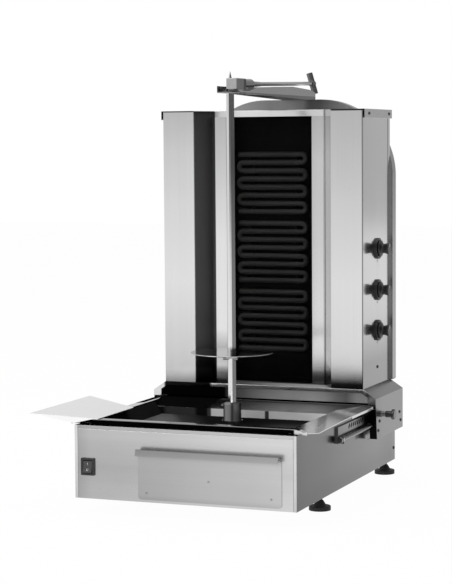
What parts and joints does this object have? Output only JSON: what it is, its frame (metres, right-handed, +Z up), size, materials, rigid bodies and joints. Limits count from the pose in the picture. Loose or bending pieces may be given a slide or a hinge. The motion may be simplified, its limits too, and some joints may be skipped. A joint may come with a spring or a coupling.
{
  "type": "electric doner grill",
  "caption": "Countertop vertical spit grill with a heated tower on a sliding carriage, drip tray, grease drawer, serving shelf and motor-driven spit.",
  "frame": {"origin": "where the spit's axis meets the counter, on the plane of the four feet", "axes": "+X to the operator's right, where the heat knobs are, +Y from the drawer toward the rear, +Z up along the spit"},
  "size_m": [0.696, 0.9143, 1.0122],
  "materials": {
    "cabinet_steel": "satin",
    "tray_steel": "satin",
    "shelf_steel": "satin",
    "panel_steel": "satin",
    "rail_steel": "satin",
    "zinc_plate": "matte",
    "bright_bar": "polished",
    "turned_steel": "satin",
    "fastener_steel": "polished",
    "handle_grip": "satin",
    "black_glass": "gloss",
    "reflector_sheet": "satin",
    "element_tube": "matte",
    "cast_case": "matte",
    "motor_paint": "satin",
    "knob_plastic": "satin",
    "switch_plastic": "satin",
    "rocker_plastic": "gloss",
    "foot_plastic": "matte",
    "gland_plastic": "matte",
    "regulator_case": "matte"
  },
  "bodies": {
    "base": {"base_shell": "cabinet_steel", "front_panel": "cabinet_steel", "floor_plate": "zinc_plate", "drip_tray": "tray_steel", "side_shelf": "shelf_steel", "rail_left": "rail_steel", "rail_right": "rail_steel", "guide_rods": "bright_bar", "rod_nuts": "fastener_steel", "gearbox": "cast_case", "drive_motor": "motor_paint", "motor_stand": "zinc_plate", "drawer_runners": "zinc_plate", "switch_body": "switch_plastic", "cable_gland": "gland_plastic", "terminal_block": "gland_plastic", "base_screws": "fastener_steel"},
    "carriage": {"tower_floor": "panel_steel", "cheek_left": "cabinet_steel", "cheek_right": "cabinet_steel", "slide_blocks": "rail_steel", "cheek_screws": "fastener_steel", "wing_left": "panel_steel", "wing_right": "panel_steel", "glass_frame": "panel_steel", "glass_panel": "black_glass", "reflector": "reflector_sheet", "heater_top": "element_tube", "heater_middle": "element_tube", "heater_bottom": "element_tube", "top_cap": "panel_steel", "tower_screws": "fastener_steel", "back_housing": "panel_steel", "rear_cover": "panel_steel", "arm_channel": "turned_steel", "regulators": "regulator_case", "knob_bezels": "knob_plastic", "plunger_body": "turned_steel"},
    "index_pin": {"plunger_pin": "bright_bar"},
    "clamp": {"clamp_block": "turned_steel"},
    "clamp_handle": {"clamp_rod": "bright_bar", "t_handle": "handle_grip"},
    "drive_shaft": {"output_shaft": "bright_bar", "spit_socket": "turned_steel", "socket_screw": "fastener_steel"},
    "spit": {"spit_bar": "bright_bar", "disc_pin": "bright_bar"},
    "disc": {"base_disc": "turned_steel"},
    "drawer": {"drawer_box": "tray_steel", "drawer_front": "cabinet_steel", "drawer_rivets": "fastener_steel"},
    "rocker": {"switch_rocker": "rocker_plastic"},
    "top_knob": {"knob_top": "knob_plastic"},
    "middle_knob": {"knob_middle": "knob_plastic"},
    "bottom_knob": {"knob_bottom": "knob_plastic"},
    "front_left_foot": {"foot_front_left": "foot_plastic"},
    "front_right_foot": {"foot_front_right": "foot_plastic"},
    "rear_left_foot": {"foot_rear_left": "foot_plastic"},
    "rear_right_foot": {"foot_rear_right": "foot_plastic"}
  },
  "joints": [
    {"name": "carriage_slide", "type": "slide", "parent": "base", "child": "carriage", "axis": [0, 1, 0], "range_m": [-0.1141, 0]},
    {"name": "index_pin_pull", "type": "slide", "parent": "carriage", "child": "index_pin", "axis": [1, 0, 0], "range_m": [-0.0053, 0]},
    {"name": "clamp_slide", "type": "slide", "parent": "carriage", "child": "clamp", "axis": [0, 1, 0], "range_m": [0, 0.1141]},
    {"name": "handle_turn", "type": "hinge", "parent": "clamp", "child": "clamp_handle", "pos_m": [0, 0.046, 0.967], "axis": [0, 0.9996, 0.0297], "range_deg": [-90, 90]},
    {"name": "spit_turn", "type": "hinge", "parent": "base", "child": "drive_shaft", "pos_m": [0, 0, 0.19], "axis": [0, 0, 1], "continuous": true},
    {"name": "spit_lift", "type": "slide", "parent": "drive_shaft", "child": "spit", "axis": [0, 0, 1], "range_m": [0, 0.06]},
    {"name": "disc_slide", "type": "slide", "parent": "spit", "child": "disc", "axis": [0, 0, 1], "range_m": [0, 0.4]},
    {"name": "drawer_slide", "type": "slide", "parent": "base", "child": "drawer", "axis": [0, -1, 0], "range_m": [0, 0.2]},
    {"name": "switch_tilt", "type": "hinge", "parent": "base", "child": "rocker", "pos_m": [-0.232, -0.297, 0.1075], "axis": [1, 0, 0], "range_deg": [0, 14]},
    {"name": "top_knob_turn", "type": "hinge", "parent": "carriage", "child": "top_knob", "pos_m": [0.263, 0.32, 0.572], "axis": [1, 0, 0], "range_deg": [0, 270]},
    {"name": "middle_knob_turn", "type": "hinge", "parent": "carriage", "child": "middle_knob", "pos_m": [0.263, 0.32, 0.471], "axis": [1, 0, 0], "range_deg": [0, 270]},
    {"name": "bottom_knob_turn", "type": "hinge", "parent": "carriage", "child": "bottom_knob", "pos_m": [0.263, 0.32, 0.372], "axis": [1, 0, 0], "range_deg": [0, 270]},
    {"name": "front_left_foot_turn", "type": "hinge", "parent": "base", "child": "front_left_foot", "pos_m": [-0.243, -0.08, 0.025], "axis": [0, 0, 1], "continuous": true},
    {"name": "front_right_foot_turn", "type": "hinge", "parent": "base", "child": "front_right_foot", "pos_m": [0.243, -0.08, 0.025], "axis": [0, 0, 1], "continuous": true},
    {"name": "rear_left_foot_turn", "type": "hinge", "parent": "base", "child": "rear_left_foot", "pos_m": [-0.243, 0.425, 0.025], "axis": [0, 0, 1], "continuous": true},
    {"name": "rear_right_foot_turn", "type": "hinge", "parent": "base", "child": "rear_right_foot", "pos_m": [0.243, 0.425, 0.025], "axis": [0, 0, 1], "continuous": true}
  ],
  "couplings": [
    {"joint": "clamp_slide", "follows": "carriage_slide", "ratio": -1}
  ]
}
